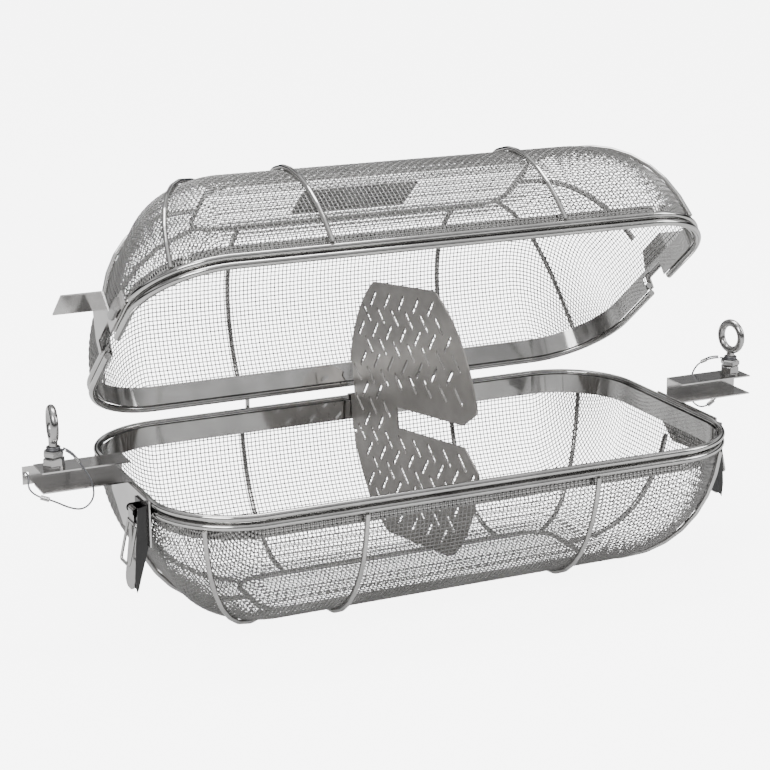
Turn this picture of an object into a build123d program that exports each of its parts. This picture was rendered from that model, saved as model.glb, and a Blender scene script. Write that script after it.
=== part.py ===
"""Rotisserie grill basket: two wire-mesh half bowls hinged at the back, carried on a spit rod.

Millimetres, +Z up, +X along the spit rod, -Y is the front, and the origin is on the rod's axis
at the middle of the basket. The lid stands part way open.
"""

import os
from math import asin, cos, radians, sin, sqrt, tan

from build123d import *

os.makedirs("parts", exist_ok=True)

# ---------------------------------------------------------------- driving dimensions
RIM_HALF_X = 220.0  # rim tube centreline, half length
RIM_HALF_Y = 115.7  # rim tube centreline, half width
RIM_CORNER = 59.8  # rim tube centreline, corner radius
RIM_TUBE = 5.0  # rim tube diameter
WIRE_TUBE = 4.8  # second rim wire diameter
WIRE_STEP = 6.4  # second wire's distance from the rim tube, towards the bowl
RIB_WIRE = 3.5  # rib and base ring wire diameter
RIB_BEND = 22.0  # radius where a rib turns
RIB_FOOT = 0.5  # a rib's foot stands this much further out

BAND_HEIGHT = 15.0
BAND_SHEET = 0.8
BAND_INSET = 3.8  # band centre, inside the rim centreline

BOWL_DEPTH = 100.1
BOWL_INSET = 1.0  # bowl wall at the rim, inside the rim centreline
FLAT_HALF_X = 136.0
FLAT_HALF_Y = 40.0
FLAT_CORNER = 22.0
END_FULLNESS = 0.85  # below 1 the end walls bulge more than a quarter ellipse
MESH_SHELL = 1.2  # woven cloth, twice the wire
MESH_START = 9.5  # depth where the cloth leaves the second wire
BOWL_ANGLES = [radians(a) for a in (15, 25, 35, 45, 55, 65, 77, 90)]

RIB_X = 89.1  # the two cross ribs of each half
CORNER_RIB_ANGLE = 50.0
RING_HALF_X = 131.0
RING_HALF_Y = 33.0
RING_CORNER = 18.0

RIM_Z = -10.05  # lower rim plane, below the rod axis
CLOSED_GAP = 6.6  # between the two rim planes when closed
HINGE_Y = 122.7
HINGE_Z = RIM_Z + 14.8
LID_OPEN = 38.87  # degrees, as modelled
HINGE_X = 83.0
PIN_D = 3.0
RUN = 0.05  # radial clearance of a running fit

CHANNEL_SHEET = 1.0
CHANNEL_INNER = 12.9
CHANNEL_START = 221.0
CHANNEL_END = 283.0
CHANNEL_WEB_Y = 4.5  # outer face of the web
CHANNEL_FRONT_Y = -17.75
TAB_END = 291.0

BOLT_X = 271.5
BOLT_Y = -6.6
SHANK_D = 7.8
EYE_D = 27.0
EYE_WIRE = 5.6
EYE_Z = 37.4
EYE_TURN = {"left": 83.0, "right": 100.0}  # the ring's plane, about the bolt's axis
NUT_FLATS = 13.0
NUT_CHAMFER = 1.0
WELD_NUT_HEIGHT = 7.0
WELD_FLANGE = 1.6  # the weld nut's round flange
JAM_NUT_HEIGHT = 4.6
NECK_D = 6.2

NOTCH_Y = -6.6  # centre of the lid's end notches
NOTCH_WIDTH = 30.0
NOTCH_TOP = 12.6  # above the lid's rim plane

DIVIDER_R = 109.5
DIVIDER_TOP = 95.5
DIVIDER_BOTTOM = -96.0
DIVIDER_SHEET = 1.2
DIVIDER_TILT = 8.0
SLOT_LENGTH = 17.0
SLOT_WIDTH = 3.0
SLOT_TURN = 45.0
SLOT_PITCH = 24.6  # along a row
SLOT_ROW = 11.75  # between rows
SLOT_EDGE = 10.0  # plain metal along the plate's edges
CLIP_R = RIM_TUBE / 2 + 0.12
CLIP_SHEET = 0.9
CLIP_FOOT = -24.0
CLIP_WIDTH = 5.0
CLIP_STAND = 4.7  # its leg's distance from the rim tube's axis, clear of the band

LATCH_Y = -47.0
LEVER_PIN_X = 229.6
LEVER_PIN_Z = -17.0
LEVER_TIP_X = 234.7
LEVER_TIP_Z = -72.0
LEVER_WIDTH = 20.0
BAIL_PIN_X = 230.5
BAIL_PIN_Z = -25.0
BAIL_TIP_X = 237.0
BAIL_TIP_Z = -53.2
BAIL_WIRE = 2.2
BAIL_WIDTH = 17.0  # between the centres of its legs
KNUCKLE_HALF = 6.0  # half length of the lever's two curls
EAR_Y = 6.55  # middle of an ear that holds the lever's pin
EAR_SHEET = 0.9
BASE_HALF = 11.0  # half width of the latch base
LEVER_PIN_D = 3.0
CATCH_Y = -47.0
CATCH_Z = 7.2  # above the lid's rim plane
CATCH_WIDTH = 14.0  # less than the bail, whose legs pass outside it

CABLE_D = 1.3
COLLAR_TURN_R = 4.3  # two turns of cable round the bolt's neck
COLLAR_TAIL_R = 8.2  # where the turns' tail meets the tether
SLEEVE_LENGTH = 6.0
SLEEVE_BORE = 2.0
SLEEVE_D = 3.4

# ---------------------------------------------------------------- frames of the two halves
hinge = Location((0, HINGE_Y, HINGE_Z), (-LID_OPEN, 0, 0))
closed_lid = Location((0, -HINGE_Y, RIM_Z + CLOSED_GAP - HINGE_Z))
LID = hinge * closed_lid  # lid rim plane, +Z into the lid's bowl
LOWER = Location((0, 0, RIM_Z), (180, 0, 0))  # +Z into the lower bowl, -Y at the back


def save(part, name):
    part.label = name
    export_step(part, f"parts/{name}.step")


def at(frame, x=0.0, y=0.0, z=0.0):
    """A plane in a half's frame, parallel to its rim plane."""
    return Plane(frame * Location((x, y, z)))


def facing_x(frame, x):
    """A plane across the rod, seen along +X, with its own x along the frame's Y."""
    return Plane(frame * Location((x, 0, 0)) * Location(Plane.YZ))


def bowl_half_x(angle, lift=0.0):
    span = RIM_HALF_X - BOWL_INSET - FLAT_HALF_X
    return FLAT_HALF_X + span * cos(angle) ** END_FULLNESS + lift * cos(angle)


def bowl_half_y(angle, lift=0.0):
    span = RIM_HALF_Y - BOWL_INSET - FLAT_HALF_Y
    return FLAT_HALF_Y + (span + lift) * cos(angle)


def bowl_corner(angle, lift=0.0):
    span = RIM_CORNER - BOWL_INSET - FLAT_CORNER
    return FLAT_CORNER + (span + lift) * cos(angle)


def bowl_z(angle, lift=0.0):
    return (BOWL_DEPTH + lift) * sin(angle)


def bowl_solid(frame, lift):
    """The bowl filled to a wall that stands lift outside the cloth's middle."""
    first = asin(MESH_START / (BOWL_DEPTH + lift))
    with BuildPart() as solid:
        for angle in [first] + BOWL_ANGLES:
            with BuildSketch(at(frame, z=bowl_z(angle, lift))):
                RectangleRounded(
                    2 * bowl_half_x(angle, lift),
                    2 * bowl_half_y(angle, lift),
                    bowl_corner(angle, lift),
                )
        loft(ruled=True)
    return solid.part


def loop(frame, z, half_x, half_y, corner, diameter):
    """A wire bent to a closed rounded rectangle, parallel to the rim plane."""
    with BuildSketch(at(frame, z=z)) as outline:
        RectangleRounded(2 * half_x, 2 * half_y, corner)
    path = outline.sketch.face().outer_wire()
    with BuildPart() as wire:
        with BuildSketch(Plane(path @ 0, z_dir=path % 0)):
            Circle(diameter / 2)
        sweep(path=path)
    return wire.part


def notch_block(frame, depth_from, depth_to):
    """What the lid's two end notches take away."""
    with BuildPart() as block:
        for side in (-1, 1):
            with Locations(frame * Location((side * RIM_HALF_X, NOTCH_Y, (depth_from + depth_to) / 2))):
                Box(60, NOTCH_WIDTH, depth_to - depth_from)
    return block.part


def wide_bends(places):
    """A radius at each corner, as large as the runs beside it allow."""
    radii = []
    for before, here, after in zip(places, places[1:], places[2:]):
        run = min((here - before).length, (after - here).length)
        turn = radians((here - before).get_angle(after - here))
        radii.append(0.45 * run / tan(turn / 2))
    return radii


def rib(frame, points, diameter=RIB_WIRE, bend=RIB_BEND):
    """A wire through points in the frame, its corners rounded."""
    places = [(frame * Location(p)).position for p in points]
    with BuildPart() as wire:
        with BuildLine() as path:
            FilletPolyline(*places, radius=bend or wide_bends(places))
        with BuildSketch(Plane(path.line @ 0, z_dir=path.line % 0)):
            Circle(diameter / 2)
        sweep()
    return wire.part


RIB_LIFT = MESH_SHELL / 2 + 0.35 + RIB_WIRE / 2
RIB_ANGLES = BOWL_ANGLES[:-1]
RING_Z = BOWL_DEPTH + RIB_LIFT
UNDER_WIRE = WIRE_STEP + WIRE_TUBE / 2 + 0.05


def cross_rib_points(x, side):
    foot = [(x, side * (bowl_half_y(0.0, RIB_LIFT) + RIB_FOOT), UNDER_WIRE)]
    wall = [(x, side * bowl_half_y(a, RIB_LIFT), bowl_z(a, RIB_LIFT)) for a in RIB_ANGLES]
    end = [(x, side * (RING_HALF_Y + RIB_WIRE / 2 + 0.1), RING_Z)]
    return foot + wall + end


def corner_rib_point(sx, sy, angle, z):
    round_part = bowl_corner(angle, RIB_LIFT)
    x = bowl_half_x(angle, RIB_LIFT) - round_part * (1 - cos(radians(CORNER_RIB_ANGLE)))
    y = bowl_half_y(angle, RIB_LIFT) - round_part * (1 - sin(radians(CORNER_RIB_ANGLE)))
    return (sx * x, sy * y, z)


def corner_rib_points(sx, sy):
    foot = [corner_rib_point(sx, sy, 0.0, UNDER_WIRE)]
    wall = [corner_rib_point(sx, sy, a, bowl_z(a, RIB_LIFT)) for a in RIB_ANGLES]
    reach = RING_CORNER + RIB_WIRE / 2 + 0.1
    x = RING_HALF_X - RING_CORNER + reach * cos(radians(CORNER_RIB_ANGLE))
    y = RING_HALF_Y - RING_CORNER + reach * sin(radians(CORNER_RIB_ANGLE))
    return foot + wall + [(sx * x, sy * y, RING_Z)]


def end_rib_points(side):
    foot = [(side * bowl_half_x(0.0, RIB_LIFT), 0, UNDER_WIRE)]
    wall = [(side * bowl_half_x(a, RIB_LIFT), 0, bowl_z(a, RIB_LIFT)) for a in RIB_ANGLES]
    end = [(side * (RING_HALF_X + RIB_WIRE / 2 + 0.1), 0, RING_Z)]
    return foot + wall + end


def group(pieces):
    """Separate solids kept together in one node."""
    return Compound(children=[solid for piece in pieces for solid in piece.solids()])


# ---------------------------------------------------------------- the two bowls
for half, frame in (("lower", LOWER), ("lid", LID)):
    rim = loop(frame, 0, RIM_HALF_X, RIM_HALF_Y, RIM_CORNER, RIM_TUBE)
    wire = loop(frame, WIRE_STEP, RIM_HALF_X, RIM_HALF_Y, RIM_CORNER, WIRE_TUBE)

    with BuildPart() as band:
        inner = BAND_INSET + BAND_SHEET / 2
        outer = BAND_INSET - BAND_SHEET / 2
        with BuildSketch(at(frame, z=1.0)):
            RectangleRounded(
                2 * (RIM_HALF_X - outer), 2 * (RIM_HALF_Y - outer), RIM_CORNER - outer
            )
            RectangleRounded(
                2 * (RIM_HALF_X - inner),
                2 * (RIM_HALF_Y - inner),
                RIM_CORNER - inner,
                mode=Mode.SUBTRACT,
            )
        extrude(amount=BAND_HEIGHT)

    with BuildPart() as cloth:
        add(bowl_solid(frame, MESH_SHELL / 2))
        add(bowl_solid(frame, -MESH_SHELL / 2), mode=Mode.SUBTRACT)

    if half == "lid":
        cut = notch_block(frame, -6, NOTCH_TOP)
        rim, wire = rim - cut, wire - cut
        with BuildPart() as notched_band:
            add(band.part)
            add(cut, mode=Mode.SUBTRACT)
        band = notched_band
        with BuildPart() as notched_cloth:
            add(cloth.part)
            add(cut, mode=Mode.SUBTRACT)
        cloth = notched_cloth

    save(rim, f"{half}_rim_tube")
    save(wire, f"{half}_rim_wire")
    save(band.part, f"{half}_band")
    save(cloth.part, f"{half}_mesh")

    cross = [rib(frame, cross_rib_points(x, s)) for x in (-RIB_X, RIB_X) for s in (-1, 1)]
    save(group(cross), f"{half}_cross_ribs")
    corner = [rib(frame, corner_rib_points(x, y)) for x in (-1, 1) for y in (-1, 1)]
    save(group(corner), f"{half}_corner_ribs")

    end_points = [end_rib_points(side) for side in (-1, 1)]
    skipped = 2 if half == "lid" else 1  # they begin clear of the end plates
    end_points = [p[skipped:] for p in end_points]
    save(group([rib(frame, p) for p in end_points]), f"{half}_end_ribs")

    ring = loop(frame, RING_Z, RING_HALF_X, RING_HALF_Y, RING_CORNER, RIB_WIRE)
    save(ring, f"{half}_base_ring")

# ---------------------------------------------------------------- plain plate on the lid's flat
PLATE_X = -7.0
PLATE_LENGTH = 92.0
PLATE_WIDTH = 37.0
with BuildPart() as lid_plate:
    with BuildSketch(at(LID, x=PLATE_X, z=BOWL_DEPTH + MESH_SHELL / 2 + 0.1)):
        RectangleRounded(PLATE_LENGTH, PLATE_WIDTH, 3)
    extrude(amount=0.8)
save(lid_plate.part, "lid_centre_plate")

# ---------------------------------------------------------------- ends of the basket
PLATE_SHEET = 1.2
END_FACE = RIM_HALF_X + RIM_TUBE / 2 + 0.1  # where an end plate's inner face stands
FLANGE_Z = -CHANNEL_INNER / 2 - CHANNEL_SHEET  # underside of the channel

for side, end in ((-1, "left"), (1, "right")):
    # end plate: hangs from the channel, outside the rim, and carries the latch
    with BuildPart() as end_plate:
        with BuildSketch(facing_x(Location(), side * (END_FACE + PLATE_SHEET / 2))):
            with BuildLine():
                Polyline(
                    (20, FLANGE_Z - 0.05),
                    (-62, FLANGE_Z - 0.05),
                    (-62, RIM_Z - 30),
                    (-34, RIM_Z - 30),
                    (-4, RIM_Z - 32),
                    (20, RIM_Z - 13),
                    close=True,
                )
            make_face()
        extrude(amount=PLATE_SHEET / 2, both=True)
        with Locations(Location(Plane.YZ) * Location((LATCH_Y, RIM_Z - 20, side * END_FACE))):
            with GridLocations(12, 0, 2, 1):
                Cylinder(1.5, 10, mode=Mode.SUBTRACT)
    save(end_plate.part, f"{end}_end_plate")

    # rod channel: open to the front, flanges above and below the rod
    middle = side * (CHANNEL_START + CHANNEL_END) / 2
    length = CHANNEL_END - CHANNEL_START
    with BuildPart() as channel:
        with BuildSketch(facing_x(Location(), side * CHANNEL_START)):
            height = CHANNEL_INNER + 2 * CHANNEL_SHEET
            depth = CHANNEL_WEB_Y - CHANNEL_FRONT_Y
            with Locations(((CHANNEL_WEB_Y + CHANNEL_FRONT_Y) / 2, 0)):
                Rectangle(depth, height)
            with Locations(((CHANNEL_WEB_Y + CHANNEL_FRONT_Y) / 2 - CHANNEL_SHEET, 0)):
                Rectangle(depth, CHANNEL_INNER, mode=Mode.SUBTRACT)
        extrude(amount=side * length)
        # tether tab: straight on at the left end, folded back at the right end
        if side < 0:
            with Locations((-(CHANNEL_END + TAB_END) / 2, CHANNEL_WEB_Y - CHANNEL_SHEET / 2, 0.4)):
                Box(TAB_END - CHANNEL_END, CHANNEL_SHEET, 12.8)
            with Locations(Location((-TAB_END + 3.2, CHANNEL_WEB_Y, 1.5), (90, 0, 0))):
                Cylinder(1.4, 6, mode=Mode.SUBTRACT)
        else:
            with Locations((CHANNEL_END - CHANNEL_SHEET / 2, CHANNEL_WEB_Y + 4, 0)):
                Box(CHANNEL_SHEET, 8.0, 12.0)
            with Locations(Location((CHANNEL_END, CHANNEL_WEB_Y + 4.6, -1.5), (0, 90, 0))):
                Cylinder(1.4, 6, mode=Mode.SUBTRACT)
        with Locations((side * BOLT_X, BOLT_Y, CHANNEL_INNER / 2)):
            Cylinder(SHANK_D / 2 + 0.4, 4, mode=Mode.SUBTRACT)
    save(channel.part, f"{end}_rod_channel")

    # weld nut on the channel
    top = CHANNEL_INNER / 2 + CHANNEL_SHEET
    with BuildPart() as weld_nut:
        with BuildSketch(Plane.XY.offset(top)):
            with Locations((side * BOLT_X, BOLT_Y)):
                Circle(NUT_FLATS / 2 + 1.1)
        extrude(amount=WELD_FLANGE)
        with BuildSketch(Plane.XY.offset(top + WELD_FLANGE)):
            with Locations((side * BOLT_X, BOLT_Y)):
                RegularPolygon(NUT_FLATS / 2, 6, major_radius=False)
        extrude(amount=WELD_NUT_HEIGHT - WELD_FLANGE)
        with Locations((side * BOLT_X, BOLT_Y, top + WELD_NUT_HEIGHT / 2)):
            Cylinder(SHANK_D / 2 + RUN, 2 * WELD_NUT_HEIGHT, mode=Mode.SUBTRACT)
        chamfer(weld_nut.edges().group_by(Axis.Z)[-1], NUT_CHAMFER)
    save(weld_nut.part, f"{end}_weld_nut")

    # jam nut, screwed up under the eye
    jam_z = top + WELD_NUT_HEIGHT + 0.15
    jam_top = jam_z + JAM_NUT_HEIGHT
    with BuildPart() as jam_nut:
        with BuildSketch(Plane.XY.offset(jam_z)):
            with Locations((side * BOLT_X, BOLT_Y)):
                RegularPolygon(NUT_FLATS / 2, 6, major_radius=False, rotation=12)
                Circle(SHANK_D / 2, mode=Mode.SUBTRACT)
        extrude(amount=JAM_NUT_HEIGHT)
        chamfer(jam_nut.edges().group_by(Axis.Z)[-1], NUT_CHAMFER)
        chamfer(jam_nut.edges().group_by(Axis.Z)[0], NUT_CHAMFER)
    save(jam_nut.part, f"{end}_jam_nut")

    # eye bolt
    shank_foot = CHANNEL_INNER / 2 - 1.25
    neck_top = EYE_Z - EYE_D / 2 + EYE_WIRE / 2
    with BuildPart() as eye_bolt:
        with BuildSketch(Plane.XY.offset(shank_foot)):
            with Locations((side * BOLT_X, BOLT_Y)):
                Circle(SHANK_D / 2)
        extrude(amount=jam_top - shank_foot)
        chamfer(eye_bolt.edges().group_by(Axis.Z)[0], 0.8)
        with BuildSketch(Plane.XY.offset(jam_top)):
            with Locations((side * BOLT_X, BOLT_Y)):
                Circle(NECK_D / 2)
        extrude(amount=neck_top - jam_top)
        with Locations(Location((side * BOLT_X, BOLT_Y, EYE_Z), (90, EYE_TURN[end], 0))):
            Torus((EYE_D - EYE_WIRE) / 2, EYE_WIRE / 2)
    save(eye_bolt.part, f"{end}_eye_bolt")

    # two turns of cable round the neck, with a tail out to the tether
    tail_turn = -43 if side < 0 else 148
    tail_from, tail_to = [
        (side * BOLT_X + r * cos(radians(tail_turn)), BOLT_Y + r * sin(radians(tail_turn)))
        for r in (COLLAR_TURN_R, COLLAR_TAIL_R)
    ]
    with BuildPart() as collar:
        for turn in range(2):
            with Locations((side * BOLT_X, BOLT_Y, jam_top + 0.85 + 1.25 * turn)):
                Torus(COLLAR_TURN_R, CABLE_D / 2)
        tail_start = Vector(*tail_from, jam_top + 0.85)
        tail_end = Vector(*tail_to, jam_top + 0.85)
        with BuildSketch(Plane(tail_start, z_dir=tail_end - tail_start)):
            Circle(CABLE_D / 2)
        extrude(amount=(tail_end - tail_start).length)
    save(collar.part, f"{end}_tether_collar")

# ---------------------------------------------------------------- lid ends
for side, end in ((-1, "left"), (1, "right")):
    face = side * (END_FACE + PLATE_SHEET / 2)
    with BuildPart() as lid_end:
        with BuildSketch(facing_x(LID, face)):
            with BuildLine():
                Polyline(
                    (-64, 4.2),
                    (-64, 15),
                    (-28, 17),
                    (-24, 35),
                    (5, 35),
                    (14, 15),
                    (14, 4.2),
                    close=True,
                )
            make_face()
            with Locations((NOTCH_Y, (NOTCH_TOP - 6) / 2)):
                Rectangle(NOTCH_WIDTH, NOTCH_TOP + 6, mode=Mode.SUBTRACT)
        extrude(amount=PLATE_SHEET / 2, both=True)
        # thumb tab, folded outwards along the plate's top edge
        with Locations(LID * Location((side * (END_FACE + 15), -9.5, 35.6 - PLATE_SHEET), (0, 0, 0))):
            Box(30, 29, PLATE_SHEET)
    save(lid_end.part, f"{end}_lid_end_plate")

    # catch: a strip whose foot curls outwards and up, for the latch's bail to sit in
    face = END_FACE + PLATE_SHEET + 0.05
    with BuildPart() as catch:
        with BuildSketch(Plane(LID * Location((side * face, CATCH_Y, CATCH_Z)) * Location(Plane.XZ))):
            with BuildLine():
                start = 180 if side > 0 else 0
                CenterArc((side * 2.6, 0), 2.6, start, side * 180)
                CenterArc((side * 2.6, 0), 1.4, start, side * 180)
                Line((0, 0), (0, 8))
                Line((0, 8), (side * 1.2, 8))
                Line((side * 1.2, 8), (side * 1.2, 0))
                Line((side * 4.0, 0), (side * 4.0, 2.6))
                Line((side * 4.0, 2.6), (side * 5.2, 2.6))
                Line((side * 5.2, 2.6), (side * 5.2, 0))
            make_face()
        extrude(amount=CATCH_WIDTH / 2, both=True)
    save(catch.part, f"{end}_catch")

# ---------------------------------------------------------------- hinges
EYE_R = 2.9
posts, lugs, pins = [], [], []
for x in (-HINGE_X, HINGE_X):
    with BuildPart() as post:
        post_y = RIM_HALF_Y + RIM_TUBE / 2 + 1.25 + 0.05
        with BuildSketch(Plane.YZ.offset(x)):
            with Locations((HINGE_Y, HINGE_Z)):
                Circle(EYE_R + 1.4)
                Circle(PIN_D / 2 + RUN, mode=Mode.SUBTRACT)
        extrude(amount=1.25, both=True)
        with BuildSketch(Plane.XY.offset(RIM_Z - 9)):
            with Locations((x, post_y)):
                Rectangle(2.5, 2.5)
        extrude(amount=HINGE_Z - RIM_Z + 9 - 2.0)
        with Locations((x, HINGE_Y, HINGE_Z)):
            Cylinder(PIN_D / 2 + RUN, 8, rotation=(0, 90, 0), mode=Mode.SUBTRACT)
    posts.append(post.part)
    with BuildPart() as pin:
        with BuildSketch(Plane.YZ.offset(x)):
            with Locations((HINGE_Y, HINGE_Z)):
                Circle(PIN_D / 2)
        extrude(amount=3.2, both=True)
    pins.append(pin.part)
    for step in (-2.2, 2.2):
        with BuildPart() as lug:
            with BuildSketch(facing_x(LID, x + step)):
                pin_y = HINGE_Y
                pin_z = HINGE_Z - RIM_Z - CLOSED_GAP
                with Locations((pin_y, pin_z)):
                    Circle(3.2)
                with Locations((pin_y - 2.2, pin_z)):
                    Rectangle(4.4, 3.6)
                with Locations((pin_y, pin_z)):
                    Circle(PIN_D / 2, mode=Mode.SUBTRACT)
                with Locations((RIM_HALF_Y, WIRE_STEP)):
                    Circle(WIRE_TUBE / 2 + 0.05, mode=Mode.SUBTRACT)
            extrude(amount=0.5, both=True)
        lugs.append(lug.part)
save(group(posts), "hinge_posts")
save(group(pins), "hinge_pins")
save(group(lugs), "hinge_lugs")

# ---------------------------------------------------------------- latches on the lower half
for side, end in ((-1, "left"), (1, "right")):
    across = Plane(Location((0, LATCH_Y, 0)) * Location(Plane.XZ))  # x along +X, y up
    plate_x = END_FACE + PLATE_SHEET + PLATE_SHEET / 2 + 0.05

    base_in = plate_x - PLATE_SHEET / 2
    base_out = plate_x + PLATE_SHEET / 2

    # base: a strip that leans out to the lever's tip, with a deep flange along its front edge
    with BuildPart() as latch_base:
        with BuildSketch(across):
            with BuildLine():
                Polyline(
                    (side * base_in, -11),
                    (side * base_out, -11),
                    (side * base_out, -40),
                    (side * 233.0, -70),
                    (side * 231.8, -70),
                    (side * base_in, -40.6),
                    close=True,
                )
            make_face()
        extrude(amount=BASE_HALF, both=True)
        with BuildSketch(Plane(Location((0, LATCH_Y - BASE_HALF, 0)) * Location(Plane.XZ))):
            with BuildLine():
                Polyline(
                    (side * base_in, -11),
                    (side * 230.6, -13),
                    (side * 234.0, -62),
                    (side * 233.0, -72),
                    (side * 231.8, -70),
                    (side * base_in, -40.6),
                    close=True,
                )
            make_face()
        extrude(amount=EAR_SHEET)
        for ear in (-1, 1):
            with BuildSketch(Plane(Location((0, LATCH_Y + ear * EAR_Y, 0)) * Location(Plane.XZ))):
                with Locations((side * LEVER_PIN_X, LEVER_PIN_Z)):
                    Circle(3.0)
                with Locations((side * (plate_x + LEVER_PIN_X) / 2, LEVER_PIN_Z)):
                    Rectangle(LEVER_PIN_X - plate_x, 6.0)
                with Locations((side * LEVER_PIN_X, LEVER_PIN_Z)):
                    Circle(LEVER_PIN_D / 2, mode=Mode.SUBTRACT)
            extrude(amount=EAR_SHEET / 2, both=True)
    save(latch_base.part, f"{end}_latch_base")

    with BuildPart() as lever_pin:
        with BuildSketch(across):
            with Locations((side * LEVER_PIN_X, LEVER_PIN_Z)):
                Circle(LEVER_PIN_D / 2)
        extrude(amount=EAR_Y + EAR_SHEET / 2 + 0.2, both=True)
    save(lever_pin.part, f"{end}_lever_pin")

    with BuildPart() as lever:
        # two curls, round the pin and round the bail's top wire, joined by webs
        with BuildSketch(across):
            with Locations((side * LEVER_PIN_X, LEVER_PIN_Z)):
                Circle(2.5)
            with Locations((side * BAIL_PIN_X, BAIL_PIN_Z)):
                Circle(2.1)
            with Locations((side * (LEVER_PIN_X + 1.2), (LEVER_PIN_Z + BAIL_PIN_Z) / 2)):
                Rectangle(1.6, LEVER_PIN_Z - BAIL_PIN_Z)
            with Locations((side * (BAIL_PIN_X - 1.75), BAIL_PIN_Z - 1.5)):
                Rectangle(1.1, 3.4)
            with Locations((side * LEVER_PIN_X, LEVER_PIN_Z)):
                Circle(LEVER_PIN_D / 2 + RUN, mode=Mode.SUBTRACT)
            with Locations((side * BAIL_PIN_X, BAIL_PIN_Z)):
                Circle(BAIL_WIRE / 2 + RUN, mode=Mode.SUBTRACT)
        extrude(amount=KNUCKLE_HALF, both=True)
        # handle strip down to the finger tab, behind the bail
        with BuildSketch(across):
            with BuildLine():
                Polyline(
                    (side * (BAIL_PIN_X - 2.5), BAIL_PIN_Z - 1.6),
                    (side * (BAIL_PIN_X - 1.3), BAIL_PIN_Z - 1.6),
                    (side * LEVER_TIP_X, LEVER_TIP_Z),
                    (side * (LEVER_TIP_X - 1.2), LEVER_TIP_Z),
                    close=True,
                )
            make_face()
        extrude(amount=LEVER_WIDTH / 2, both=True)
        tip_edges = lever.edges().filter_by(lambda e: (e @ 0.5).Z < LEVER_TIP_Z + 1)
        fillet(tip_edges.filter_by(Axis.X, tolerance=20), 8)
    save(lever.part, f"{end}_lever")

    with BuildPart() as bail:
        top = Vector(side * BAIL_PIN_X, LATCH_Y, BAIL_PIN_Z)
        foot = Vector(side * BAIL_TIP_X, LATCH_Y, BAIL_TIP_Z)
        half_width = Vector(0, BAIL_WIDTH / 2, 0)
        with BuildLine() as bail_path:
            FilletPolyline(
                top + half_width,
                foot + half_width,
                foot - half_width,
                top - half_width,
                radius=2.2,
                close=True,
            )
        bail_wire = bail_path.wires()[0]
        with BuildSketch(Plane(bail_wire @ 0, z_dir=bail_wire % 0)):
            Circle(BAIL_WIRE / 2)
        sweep(path=bail_wire)
    save(bail.part, f"{end}_bail")

# ---------------------------------------------------------------- divider
RIM_AXIS = (0, RIM_HALF_Y, RIM_Z)  # the back rim tube, which the divider tilts about
divider_frame = Location(RIM_AXIS, (-DIVIDER_TILT, 0, 0))  # +Y away from the basket, +Z up
DIVIDER_CENTRE = (-RIM_HALF_Y, -1.0)
NOTCH_END = -92.0
NOTCH_LOW = -11.9
NOTCH_HIGH = 3.7
MOUTH = DIVIDER_CENTRE[0] - DIVIDER_R
CLIP_CUT = 15.0  # how far the plate stands back behind the clip
FLAT_ROUND = 9.0
FOOT_ROUND = 24.0
LIP_ROUND = 5.0


def slot_fits(y, z):
    """True where a slot leaves plain metal round the plate's edges and the rod notch."""
    from_centre = sqrt((y - DIVIDER_CENTRE[0]) ** 2 + (z - DIVIDER_CENTRE[1]) ** 2)
    beside_notch = y < NOTCH_END + SLOT_EDGE and NOTCH_LOW - SLOT_EDGE < z < NOTCH_HIGH + SLOT_EDGE
    in_height = DIVIDER_BOTTOM + SLOT_EDGE < z < DIVIDER_TOP - SLOT_EDGE
    in_plate = from_centre < DIVIDER_R - SLOT_EDGE and y < -CLIP_CUT - 7
    return in_plate and in_height and not beside_notch


with BuildPart() as divider:
    with BuildSketch(facing_x(divider_frame, -DIVIDER_SHEET)) as plate:
        with Locations(DIVIDER_CENTRE):
            Circle(DIVIDER_R)
        with Locations((DIVIDER_CENTRE[0], (DIVIDER_TOP + DIVIDER_BOTTOM) / 2)):
            Rectangle(2.2 * DIVIDER_R, DIVIDER_TOP - DIVIDER_BOTTOM, mode=Mode.INTERSECT)
        fillet(plate.vertices().sort_by(Axis.Y)[2:], FLAT_ROUND)
        fillet(plate.vertices().sort_by(Axis.Y)[:2], FOOT_ROUND)
        # notch for the spit rod, flared at its mouth
        with BuildLine():
            Polyline(
                (NOTCH_END, NOTCH_LOW),
                (NOTCH_END, NOTCH_HIGH),
                (MOUTH + 24, NOTCH_HIGH),
                (MOUTH - 4, NOTCH_HIGH + 13),
                (MOUTH - 4, NOTCH_LOW - 22),
                (MOUTH + 24, NOTCH_LOW),
                close=True,
            )
        make_face(mode=Mode.SUBTRACT)
        lips = plate.vertices().filter_by(lambda v: v.X < MOUTH + 8)
        fillet(lips, LIP_ROUND)
        # clear of the clip and of the lid's rim as it swings
        with Locations((-CLIP_CUT / 2, 2)):
            Rectangle(CLIP_CUT, 56, mode=Mode.SUBTRACT)
        # slots that lean one way in one row and the other way in the next
        for row in range(-8, 9):
            for column in range(1, 10):
                y = -SLOT_PITCH * (column + 0.5 * (row % 2))
                z = SLOT_ROW * row
                if slot_fits(y, z):
                    with Locations(Location((y, z), SLOT_TURN * (-1) ** row)):
                        SlotOverall(SLOT_LENGTH, SLOT_WIDTH, mode=Mode.SUBTRACT)
    extrude(amount=DIVIDER_SHEET)
save(divider.part, "divider_plate")

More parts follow.
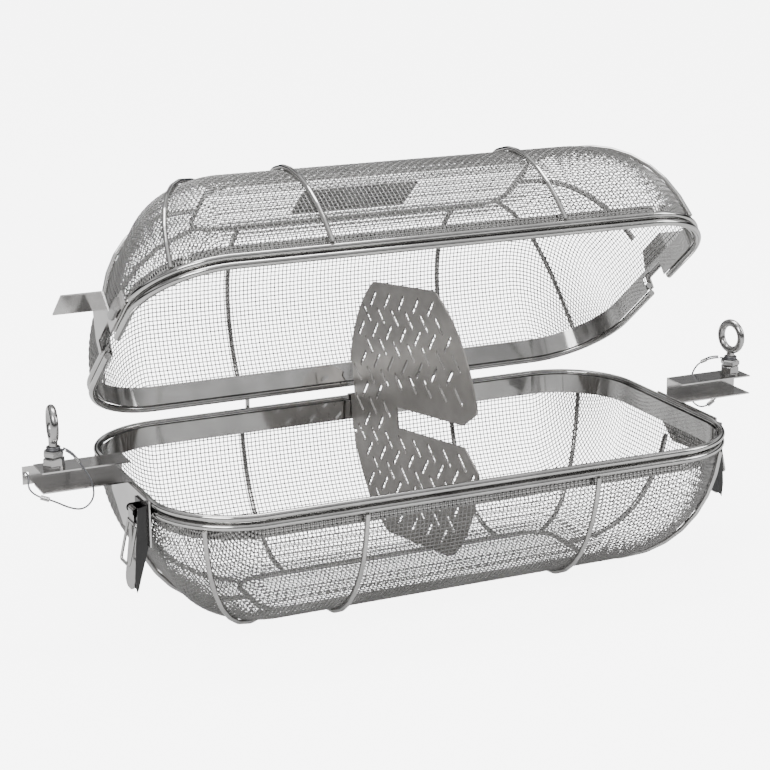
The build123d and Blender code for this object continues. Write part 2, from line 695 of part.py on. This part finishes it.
# clip: an angle against the back wall, hooked over the rim tube
outer = CLIP_R + CLIP_SHEET
lip = radians(20)
with BuildPart() as clip:
    with BuildSketch(facing_x(divider_frame, 0.1)):
        with BuildLine():
            CenterArc((0, 0), outer, 20, 70)
            Polyline(
                (0, outer),
                (-CLIP_STAND - CLIP_SHEET, outer),
                (-CLIP_STAND - CLIP_SHEET, CLIP_FOOT),
                (-CLIP_STAND, CLIP_FOOT),
                (-CLIP_STAND, CLIP_R),
                (0, CLIP_R),
            )
            CenterArc((0, 0), CLIP_R, 20, 70)
            Line(
                (CLIP_R * cos(lip), CLIP_R * sin(lip)),
                (outer * cos(lip), outer * sin(lip)),
            )
        make_face()
    extrude(amount=CLIP_WIDTH)
    # flange that the plate is riveted to
    with BuildSketch(facing_x(divider_frame, 0.1)):
        with Locations((-CLIP_STAND - CLIP_SHEET / 2 - 6, CLIP_FOOT / 2 - 2)):
            Rectangle(13, -CLIP_FOOT - 4)
    extrude(amount=CLIP_SHEET)
save(clip.part, "divider_clip")

# ---------------------------------------------------------------- tethers
left_route = [
    (-264.9, -12.7, 19.7),
    (-261.0, -14.8, 17.5),
    (-255.5, -20.8, 9.5),
    (-250.5, -25.0, -1.0),
    (-250.2, -26.4, -12.0),
    (-257.5, -26.4, -19.0),
    (-267.0, -26.0, -17.0),
    (-278.0, -24.5, -10.5),
    (-288.0, -19.0, -7.5),
    (-291.0, -9.0, -4.5),
    (-288.0, -2.5, 1.5),
    (-287.8, 5.8, 1.5),
]
right_route = [
    (263.9, -1.9, 20.0),
    (259.5, 1.5, 19.6),
    (249.5, 8.0, 14.0),
    (245.2, 9.5, 0.0),
    (247.0, 9.5, -16.5),
    (259.0, 9.5, -24.0),
    (272.5, 9.5, -15.5),
    (278.5, 9.3, -9.0),
    (278.8, 9.1, -1.5),
    (285.0, 9.1, -1.5),
]
for end, route, crimp in (("left", left_route, 7), ("right", right_route, 5)):
    save(rib(Location(), route, CABLE_D, None), f"{end}_tether")
    # a crimped sleeve, half way along one run of the tether
    before, after = Vector(*route[crimp]), Vector(*route[crimp + 1])
    start = (before + after) * 0.5 - (after - before).normalized() * (SLEEVE_LENGTH / 2)
    with BuildPart() as sleeve:
        with BuildSketch(Plane(start, z_dir=after - before)):
            Circle(SLEEVE_D / 2)
            Circle(SLEEVE_BORE / 2, mode=Mode.SUBTRACT)
        extrude(amount=SLEEVE_LENGTH)
    save(sleeve.part, f"{end}_tether_sleeve")
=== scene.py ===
"""Looks for the rotisserie grill basket: woven wire cloth, polished steel, tethers and the studio."""

import math

import bpy
import numpy as np
from mathutils import Matrix, Vector


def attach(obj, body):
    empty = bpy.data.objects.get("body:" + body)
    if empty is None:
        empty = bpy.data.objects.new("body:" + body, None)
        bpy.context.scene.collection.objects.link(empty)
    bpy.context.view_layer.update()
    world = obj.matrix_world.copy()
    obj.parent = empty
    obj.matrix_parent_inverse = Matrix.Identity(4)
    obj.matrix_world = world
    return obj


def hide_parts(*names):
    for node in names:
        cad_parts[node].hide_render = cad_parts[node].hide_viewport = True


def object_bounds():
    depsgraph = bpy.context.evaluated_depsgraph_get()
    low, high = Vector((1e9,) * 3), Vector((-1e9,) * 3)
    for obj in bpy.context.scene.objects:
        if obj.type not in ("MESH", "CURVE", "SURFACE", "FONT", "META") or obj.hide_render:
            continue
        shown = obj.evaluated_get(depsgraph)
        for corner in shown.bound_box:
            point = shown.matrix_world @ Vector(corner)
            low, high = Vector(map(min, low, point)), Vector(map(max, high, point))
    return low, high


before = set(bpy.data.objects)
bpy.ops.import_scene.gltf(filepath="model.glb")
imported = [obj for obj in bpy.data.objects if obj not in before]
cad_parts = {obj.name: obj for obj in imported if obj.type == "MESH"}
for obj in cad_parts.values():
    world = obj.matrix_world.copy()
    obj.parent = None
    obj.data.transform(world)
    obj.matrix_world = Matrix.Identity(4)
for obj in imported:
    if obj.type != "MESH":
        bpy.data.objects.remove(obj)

CAD_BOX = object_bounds()
MM = 0.001

# ---------------------------------------------------------------- the two halves, in millimetres
RIM_HALF_X = 220.0
RIM_HALF_Y = 115.7
RIM_CORNER = 59.8
RIM_Z = -10.05
CLOSED_GAP = 6.6
HINGE_Y = 122.7
HINGE_Z = RIM_Z + 14.8
LID_OPEN = math.radians(38.87)

BOWL_DEPTH = 100.1
BOWL_INSET = 1.0
FLAT_HALF_X = 136.0
FLAT_HALF_Y = 40.0
FLAT_CORNER = 22.0
END_FULLNESS = 0.85
MESH_START = 8.6

CLOTH_PITCH = 3.2
CLOTH_WIRE = 0.84
CLOTH_WAVE = 0.24  # how far a wire swings to each side where it crosses another

NOTCH_Y = -6.6
NOTCH_WIDTH = 30.0
NOTCH_TOP = 12.6
NOTCH_MARGIN = 0.4  # the cloth stops this far short of a notch
NOTCH_REACH = 25.0  # a notch's cut reaches this far in from the rim

LOWER = Matrix.Translation((0, 0, RIM_Z)) @ Matrix.Rotation(math.pi, 4, "X")
LID = (
    Matrix.Translation((0, HINGE_Y, HINGE_Z))
    @ Matrix.Rotation(-LID_OPEN, 4, "X")
    @ Matrix.Translation((0, -HINGE_Y, RIM_Z + CLOSED_GAP - HINGE_Z))
)


# ---------------------------------------------------------------- materials
class Steel:
    """A bare metal with fine grain, faint colour drift and uneven polish."""

    def __init__(self, name, colour, roughness, grain=900.0, brushed=None, bump=0.05, spread=0.06, dark=0.82):
        self.mat = bpy.data.materials.new(name)
        self.mat.use_nodes = True
        self.nodes = self.mat.node_tree.nodes
        self.links = self.mat.node_tree.links
        self.shader = self.nodes["Principled BSDF"]
        self.shader.inputs["Metallic"].default_value = 1.0
        where = self.nodes.new("ShaderNodeTexCoord")
        grain_space = where.outputs["Object"]
        if brushed:
            stretch = self.nodes.new("ShaderNodeMapping")
            stretch.inputs["Scale"].default_value = brushed
            self.links.new(grain_space, stretch.inputs["Vector"])
            grain_space = stretch.outputs["Vector"]
        fine = self.noise(grain_space, grain, 4.0)
        broad = self.noise(where.outputs["Object"], 38.0, 3.0)
        self.ramp(broad, [tuple(c * dark for c in colour), colour], self.shader.inputs["Base Color"])
        polish = self.nodes.new("ShaderNodeMapRange")
        polish.inputs["To Min"].default_value = max(0.02, roughness - spread)
        polish.inputs["To Max"].default_value = roughness + spread
        self.links.new(fine, polish.inputs["Value"])
        self.links.new(polish.outputs["Result"], self.shader.inputs["Roughness"])
        dent = self.nodes.new("ShaderNodeBump")
        dent.inputs["Strength"].default_value = bump
        dent.inputs["Distance"].default_value = 0.0002
        self.links.new(fine, dent.inputs["Height"])
        self.links.new(dent.outputs["Normal"], self.shader.inputs["Normal"])

    def noise(self, space, scale, detail):
        texture = self.nodes.new("ShaderNodeTexNoise")
        texture.inputs["Scale"].default_value = scale
        texture.inputs["Detail"].default_value = detail
        self.links.new(space, texture.inputs["Vector"])
        return texture.outputs["Fac"]

    def ramp(self, value, colours, target):
        ramp = self.nodes.new("ShaderNodeValToRGB")
        ramp.color_ramp.elements[0].position = 0.35
        ramp.color_ramp.elements[1].position = 0.65
        for element, colour in zip(ramp.color_ramp.elements, colours):
            element.color = (*colour, 1.0)
        self.links.new(value, ramp.inputs["Fac"])
        self.links.new(ramp.outputs["Color"], target)


polished = Steel("polished_wire", (0.60, 0.595, 0.585), 0.09, grain=1400.0, spread=0.04).mat
cloth = Steel("woven_cloth", (0.36, 0.355, 0.35), 0.30, grain=2600.0, bump=0.1).mat
band_steel = Steel(
    "polished_band", (0.62, 0.615, 0.605), 0.08, grain=500.0, brushed=(0.08, 0.08, 1.6), bump=0.04
).mat
sheet = Steel("brushed_sheet", (0.68, 0.67, 0.66), 0.16, grain=700.0, brushed=(0.1, 0.6, 1.0), bump=0.06).mat
divider_steel = Steel(
    "satin_plate", (0.34, 0.325, 0.31), 0.36, grain=420.0, brushed=(1.0, 0.12, 1.0), bump=0.08
).mat
bolt_steel = Steel("bolt_steel", (0.50, 0.495, 0.49), 0.20, grain=1100.0, bump=0.12).mat
latch_steel = Steel("latch_steel", (0.45, 0.445, 0.44), 0.16, grain=800.0, brushed=(0.3, 1.0, 0.3)).mat
# the latch base plate and lever pin get a near-black colour: painted shade, standing in for the shadowed side
# of the plate
latch_base_painted_shade = Steel("latch_base_painted_shade", (0.06, 0.06, 0.06), 0.22, grain=800.0).mat
cable_steel = Steel("cable_steel", (0.20, 0.20, 0.21), 0.42, grain=1500.0, bump=0.2).mat

LOOKS = [
    (("tether_collar",), cable_steel),
    (("sleeve",), bolt_steel),
    (("band",), band_steel),
    (("divider",), divider_steel),
    (("bolt", "nut"), bolt_steel),
    # latch base and lever pin: near-black steel that is painted shade
    (("latch_base", "lever_pin"), latch_base_painted_shade),
    (("lever", "latch", "catch"), latch_steel),
    (("rim", "rib", "ring", "bail", "pin", "post", "lug"), polished),
    (("plate", "channel"), sheet),
]

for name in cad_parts:
    look = next((mat for words, mat in LOOKS if any(word in name for word in words)), sheet)
    thing = bpy.data.objects[name]
    thing.data.materials.clear()
    thing.data.materials.append(look)


# ---------------------------------------------------------------- woven wire cloth
def bowl(angle):
    """Half length, half width and corner radius of the bowl's section at an angle from the rim."""
    c = np.cos(angle)
    half_x = FLAT_HALF_X + (RIM_HALF_X - BOWL_INSET - FLAT_HALF_X) * np.clip(c, 0, 1) ** END_FULLNESS
    half_y = FLAT_HALF_Y + (RIM_HALF_Y - BOWL_INSET - FLAT_HALF_Y) * c
    corner = FLAT_CORNER + (RIM_CORNER - BOWL_INSET - FLAT_CORNER) * c
    return half_x, half_y, corner


STEPS = 400  # sections between the rim and the flat
TURN_STEPS = 60  # samples round a corner
ANGLES = np.linspace(math.asin(MESH_START / BOWL_DEPTH), math.pi / 2, STEPS)
HALF_X, HALF_Y, CORNER = bowl(ANGLES)
DEPTH = BOWL_DEPTH * np.sin(ANGLES)


def climb(half, depth):
    """Distance up the wall from the flat, for each angle."""
    runs = np.hypot(np.diff(half), np.diff(depth))
    return np.append(np.cumsum(runs[::-1])[::-1], 0.0)


class Family:
    """Wires that cross the bowl one way. half is the bowl along the axis they are spaced on, other
    along the axis they run on."""

    def __init__(self, half, other, flat_half):
        self.straight = half - CORNER  # where the corner begins
        self.reach = flat_half + climb(half, DEPTH)  # cloth distance from the middle, up the far wall
        self.half = half
        self.other = other

    def turn(self, distance):
        """How far round the corner the cloth distance is met, for each section: 0 on the near wall,
        1 on the far one, and nan where the wire isn't on the corner."""
        span = self.reach - self.straight
        slope = CORNER * (math.pi / 2) / span
        fraction = (distance - self.straight) / span
        t = np.linspace(0, 1, TURN_STEPS)[:, None]  # 0 on the near wall
        rise = t**3 - 2 * t**2 + t
        bend = -2 * t**3 + 3 * t**2
        value = bend + slope * rise
        out = np.full(STEPS, np.nan)
        for k in range(STEPS):
            if 0 <= fraction[k] <= 1:
                out[k] = np.interp(fraction[k], value[:, k], t[:, 0])
        return out


ALONG = Family(HALF_X, HALF_Y, FLAT_HALF_X)  # wires spaced along X
ACROSS = Family(HALF_Y, HALF_X, FLAT_HALF_Y)  # wires spaced along Y


def quarter_wire(family, distance):
    """One wire's points in a quadrant, from the middle of its run out to the rim: its place on the
    axis it is spaced on, its place on the axis it runs on, and its depth."""
    turn = family.turn(distance)
    near = distance < family.straight
    place = np.where(near, distance, np.nan)
    run = np.where(near, family.other, np.nan)
    far_corner = family.half - CORNER
    side_corner = family.other - CORNER
    angle = turn * math.pi / 2
    on_corner = ~np.isnan(turn) & ~near
    place = np.where(on_corner, far_corner + CORNER * np.sin(angle), place)
    run = np.where(on_corner, side_corner + CORNER * np.cos(angle), run)
    keep = near | on_corner
    place, run, depth = place[keep], run[keep], DEPTH[keep]
    # the rest crosses the flat or the far wall in a straight run
    if distance <= family.reach[-1]:
        floor_place, floor_depth = distance, BOWL_DEPTH
    else:
        angle_at = np.interp(-distance, -family.reach, ANGLES)
        floor_place = np.interp(angle_at, ANGLES, family.half)
        floor_depth = BOWL_DEPTH * math.sin(angle_at)
    end = run[-1] if len(run) else 0.0
    middle = np.arange(0.0, max(end - 0.5, 0.5), CLOTH_PITCH / 2)
    place = np.concatenate([np.full(len(middle), floor_place), place[::-1]])
    run = np.concatenate([middle, run[::-1]])
    depth = np.concatenate([np.full(len(middle), floor_depth), depth[::-1]])
    return np.stack([place, run, depth], axis=1)


def whole_wire(family, index):
    """A full wire from rim to rim, sampled at every crossing and halfway between."""
    quarter = quarter_wire(family, abs(index) * CLOTH_PITCH)
    if len(quarter) < 4:
        return None
    back = quarter[1:][::-1] * [1, -1, 1]
    path = np.concatenate([back, quarter])
    path[:, 0] *= -1 if index < 0 else 1
    length = np.concatenate([[0], np.cumsum(np.linalg.norm(np.diff(path, axis=0), axis=1))])
    middle = length[-1] / 2
    count = int(middle / (CLOTH_PITCH / 2))
    wanted = middle + np.arange(-count, count + 1) * CLOTH_PITCH / 2
    points = np.stack([np.interp(wanted, length, path[:, k]) for k in range(3)], axis=1)
    return points, np.arange(-count, count + 1)


def outward(points):
    """Rough outward normal of the bowl at each point (x, y, depth)."""
    x, y, z = points.T
    angle = np.arcsin(np.clip(z / BOWL_DEPTH, 0, 1))
    half_x, half_y, corner = bowl(angle)
    dx = np.sign(x) * np.clip(np.abs(x) - (half_x - corner), 0, None)
    dy = np.sign(y) * np.clip(np.abs(y) - (half_y - corner), 0, None)
    flat = np.hypot(dx, dy) + 1e-9
    side = np.clip(flat / corner, 0, 1) * np.clip(np.cos(angle) * 1.15, 0, 1)
    n = np.stack([dx / flat * side, dy / flat * side, np.sqrt(np.clip(1 - side**2, 0, 1))], axis=1)
    return n / np.linalg.norm(n, axis=1, keepdims=True)


def tubes(wires, radius):
    """Vertices and quads of thin square tubes along polylines; each wire is (points, normals)."""
    verts, faces = [], []
    start = 0
    sides = 4
    turn = np.arange(sides) * 2 * math.pi / sides
    for points, normals in wires:
        n = len(points)
        tangent = np.gradient(points, axis=0)
        tangent /= np.linalg.norm(tangent, axis=1, keepdims=True) + 1e-12
        beside = np.cross(tangent, normals)
        beside /= np.linalg.norm(beside, axis=1, keepdims=True) + 1e-12
        above = np.cross(beside, tangent)
        ring = (
            points[:, None, :]
            + radius * np.cos(turn)[None, :, None] * beside[:, None, :]
            + radius * np.sin(turn)[None, :, None] * above[:, None, :]
        )
        verts.append(ring.reshape(-1, 3))
        i = np.arange(n - 1)[:, None] * sides
        j = np.arange(sides)[None, :]
        k = (j + 1) % sides
        quads = np.stack([i + j, i + k, i + sides + k, i + sides + j], axis=2).reshape(-1, 4) + start
        faces.append(quads)
        caps = np.array([np.arange(sides)[::-1], (n - 1) * sides + np.arange(sides)]) + start
        faces.append(caps)
        start += n * sides
    return np.concatenate(verts), np.concatenate(faces)


def mesh_object(name, verts, faces, material):
    mesh = bpy.data.meshes.new(name)
    mesh.vertices.add(len(verts))
    mesh.vertices.foreach_set("co", np.ascontiguousarray(verts, dtype=np.float32).ravel())
    mesh.loops.add(faces.size)
    mesh.loops.foreach_set("vertex_index", faces.ravel().astype(np.int32))
    mesh.polygons.add(len(faces))
    mesh.polygons.foreach_set("loop_start", np.arange(0, faces.size, faces.shape[1], dtype=np.int32))
    mesh.update(calc_edges=True)
    mesh.validate()
    mesh.shade_smooth()
    mesh.materials.append(material)
    thing = bpy.data.objects.new(name, mesh)
    bpy.context.scene.collection.objects.link(thing)
    return thing


def in_notch(points):
    x, y, depth = points.T
    beside = np.abs(y - NOTCH_Y) < NOTCH_WIDTH / 2 + NOTCH_MARGIN
    at_end = np.abs(x) > RIM_HALF_X - NOTCH_REACH
    return beside & (depth < NOTCH_TOP + NOTCH_MARGIN) & at_end


def cloth_wires(notched):
    wires = []
    for family, swap, parity in ((ALONG, False, 0), (ACROSS, True, 1)):
        most = int(family.reach[0] / CLOTH_PITCH)
        for index in range(-most, most + 1):
            made = whole_wire(family, index)
            if made is None:
                continue
            points, steps = made
            if swap:
                points = points[:, [1, 0, 2]]
            normals = outward(points)
            wave = CLOTH_WAVE * np.cos(steps * math.pi / 2) * (-1) ** (index + parity)
            points = points + normals * wave[:, None]
            kept = ~in_notch(points) if notched else np.ones(len(points), bool)
            cuts = np.flatnonzero(np.diff(kept.astype(int))) + 1
            for part in np.split(np.arange(len(points)), cuts):
                if kept[part[0]] and len(part) > 2:
                    wires.append((points[part], normals[part]))
    return wires


def placed(verts, matrix):
    m = np.array(matrix)
    return (verts @ m[:3, :3].T + m[:3, 3]) * MM


for half, place in (("lower", LOWER), ("lid", LID)):
    verts, faces = tubes(cloth_wires(half == "lid"), CLOTH_WIRE / 2)
    piece = mesh_object(f"{half}_woven_cloth", placed(verts, place), faces, cloth)
    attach(piece, half)
    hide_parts(f"{half}_mesh")
    print(half, "cloth faces", len(faces))

# ---------------------------------------------------------------- tethers
LEFT_ROUTE = [
    (-264.9, -12.7, 19.7),
    (-261.0, -14.8, 17.5),
    (-255.5, -20.8, 9.5),
    (-250.5, -25.0, -1.0),
    (-250.2, -26.4, -12.0),
    (-257.5, -26.4, -19.0),
    (-267.0, -26.0, -17.0),
    (-278.0, -24.5, -10.5),
    (-288.0, -19.0, -7.5),
    (-291.0, -9.0, -4.5),
    (-288.0, -2.5, 1.5),
    (-287.8, 5.8, 1.5),
]
RIGHT_ROUTE = [
    (263.9, -1.9, 20.0),
    (259.5, 1.5, 19.6),
    (249.5, 8.0, 14.0),
    (245.2, 9.5, 0.0),
    (247.0, 9.5, -16.5),
    (259.0, 9.5, -24.0),
    (272.5, 9.5, -15.5),
    (278.5, 9.3, -9.0),
    (278.8, 9.1, -1.5),
    (285.0, 9.1, -1.5),
]
CABLE_D = 1.3


def nurbs(name, route, diameter, material):
    curve = bpy.data.curves.new(name, "CURVE")
    curve.dimensions = "3D"
    spline = curve.splines.new("NURBS")
    spline.points.add(len(route) - 1)
    for point, place in zip(spline.points, route):
        point.co = (*[c * MM for c in place], 1.0)
    spline.order_u = 3
    spline.use_endpoint_u = True
    spline.resolution_u = 10
    curve.bevel_depth = diameter * MM / 2
    curve.bevel_resolution = 4
    curve.materials.append(material)
    thing = bpy.data.objects.new(name, curve)
    bpy.context.scene.collection.objects.link(thing)
    return thing


def route_length(route):
    return sum(math.dist(a, b) for a, b in zip(route, route[1:])) * MM


def polyline_of(curve_object):
    """The smooth line of a NURBS route, in metres."""
    bare = curve_object.data.copy()
    bare.bevel_depth = 0.0
    probe = bpy.data.objects.new("probe", bare)
    mesh = bpy.data.meshes.new_from_object(probe)
    points = np.array([v.co[:] for v in mesh.vertices])
    bpy.data.objects.remove(probe)
    return points


# each cable is turned back on itself at the bolt and crimped
RETURNS = {
    "left": [(-266.0, -11.4, 21.4), (-262.0, -13.9, 19.4), (-259.2, -16.6, 16.0), (-258.3, -17.8, 14.4)],
    "right": [(263.6, -1.7, 21.3), (259.4, 1.7, 20.9), (254.5, 5.0, 17.9), (252.9, 6.1, 16.9)],
}
CRIMP_D = 2.6
CRIMP_LENGTH = 5.0

for end, route in (("left", LEFT_ROUTE), ("right", RIGHT_ROUTE)):
    strand = nurbs(f"{end}_cable_return", RETURNS[end], CABLE_D, cable_steel)
    begin, towards = Vector(route[1]), Vector(route[2])
    centre = (begin + towards) / 2
    half_crimp = (towards - begin).normalized() * CRIMP_LENGTH / 2
    crimp_route = [centre - half_crimp, centre, centre + half_crimp]
    crimp = nurbs(f"{end}_cable_crimp", crimp_route, CRIMP_D, bolt_steel)
    crimp.data.use_fill_caps = True
    for piece, slot in ((strand, "cable_steel"), (crimp, "bolt_steel")):
        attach(piece, "lower")
    cord = nurbs(f"{end}_cable", route, CABLE_D, cable_steel)
    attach(cord, "lower")
    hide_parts(f"{end}_tether")
    line = polyline_of(cord)


# ---------------------------------------------------------------- studio
def area_light(name, place, aim, size, power, colour=(1, 1, 1)):
    light = bpy.data.lights.new(name, "AREA")
    light.shape = "RECTANGLE"
    light.size, light.size_y = size
    light.energy = power
    light.color = colour
    thing = bpy.data.objects.new(name, light)
    thing.location = place
    thing.rotation_euler = (Vector(aim) - Vector(place)).to_track_quat("-Z", "Y").to_euler()
    bpy.context.scene.collection.objects.link(thing)


FLOOR_Z = CAD_BOX[0][2]
floor_mesh = bpy.data.meshes.new("floor")
FLOOR_HALF = 30.0
floor_mesh.from_pydata(
    [(x * FLOOR_HALF, y * FLOOR_HALF, FLOOR_Z) for x, y in ((-1, -1), (1, -1), (1, 1), (-1, 1))],
    [],
    [(0, 1, 2, 3)],
)
floor = bpy.data.objects.new("floor", floor_mesh)
bpy.context.scene.collection.objects.link(floor)
FLOOR_GLOW = 6.0  # brightness of the white paper, for the camera only
FLOOR_LIFT = 0.12  # what the steel sees of that glow
floor_mat = bpy.data.materials.new("floor")
floor_mat.use_nodes = True
floor_shader = floor_mat.node_tree.nodes["Principled BSDF"]
floor_shader.inputs["Base Color"].default_value = (0.62, 0.62, 0.62, 1)
floor_shader.inputs["Roughness"].default_value = 0.9
floor_shader.inputs["Specular IOR Level"].default_value = 0.1
fn, fl = floor_mat.node_tree.nodes, floor_mat.node_tree.links
seen = fn.new("ShaderNodeLightPath")
glow = fn.new("ShaderNodeMath")
glow.operation = "MULTIPLY_ADD"
glow.inputs[1].default_value = FLOOR_GLOW
glow.inputs[2].default_value = FLOOR_LIFT
fl.new(seen.outputs["Is Camera Ray"], glow.inputs[0])
floor_shader.inputs["Emission Color"].default_value = (1, 1, 1, 1)
fl.new(glow.outputs[0], floor_shader.inputs["Emission Strength"])
floor_mesh.materials.append(floor_mat)

area_light("key", (-1.6, -1.4, 1.9), (0, 0, 0.0), (1.4, 1.0), 46)
area_light("fill", (1.9, -1.0, 1.3), (0, 0, 0.0), (1.0, 1.2), 22)
area_light("top", (0.1, 0.5, 2.2), (0, 0, 0.0), (1.6, 0.7), 40)

world = bpy.data.worlds.new("studio")
bpy.context.scene.world = world
world.use_nodes = True
wn, wl = world.node_tree.nodes, world.node_tree.links
where = wn.new("ShaderNodeTexCoord")
split = wn.new("ShaderNodeSeparateXYZ")
wl.new(where.outputs["Generated"], split.inputs[0])
bands = wn.new("ShaderNodeValToRGB")
level = wn.new("ShaderNodeMapRange")
level.inputs["From Min"].default_value = -1.0
wl.new(split.outputs["Z"], level.inputs["Value"])
wl.new(level.outputs["Result"], bands.inputs["Fac"])
# brightness of the room by height, 0 straight down, 0.5 level and 1 straight up
stops = [
    (0.0, 0.8), (0.48, 0.8), (0.52, 0.05), (0.62, 0.02), (0.66, 0.45),
    (0.72, 0.9), (0.80, 0.12), (0.86, 0.7), (1.0, 1.3),
]
ramp = bands.color_ramp
while len(ramp.elements) < len(stops):
    ramp.elements.new(0.5)
for element, (position, value) in zip(ramp.elements, stops):
    element.position = position
    element.color = (value, value, value * 1.005, 1)
wl.new(bands.outputs["Color"], wn["Background"].inputs["Color"])
wn["Background"].inputs["Strength"].default_value = 1.0

# ---------------------------------------------------------------- camera
CAMERA_PLACE = (-0.6292, -1.3158, 0.4427)
YAW, PITCH, ROLL = (math.radians(a) for a in (24.774, 15.807, 0.252))
forward = Vector((math.sin(YAW) * math.cos(PITCH), math.cos(YAW) * math.cos(PITCH), -math.sin(PITCH)))
right = Vector((math.cos(YAW), -math.sin(YAW), 0))
down = forward.cross(right)
turned_right = math.cos(ROLL) * right + math.sin(ROLL) * down
turned_down = -math.sin(ROLL) * right + math.cos(ROLL) * down
camera_data = bpy.data.cameras.new("camera")
camera_data.sensor_width = 36.0
camera_data.lens = 97.3
camera = bpy.data.objects.new("camera", camera_data)
axes = Matrix((turned_right, -turned_down, -forward)).transposed().to_4x4()
camera.matrix_world = Matrix.Translation(CAMERA_PLACE) @ axes
bpy.context.scene.collection.objects.link(camera)
bpy.context.scene.camera = camera

bpy.context.view_layer.update()
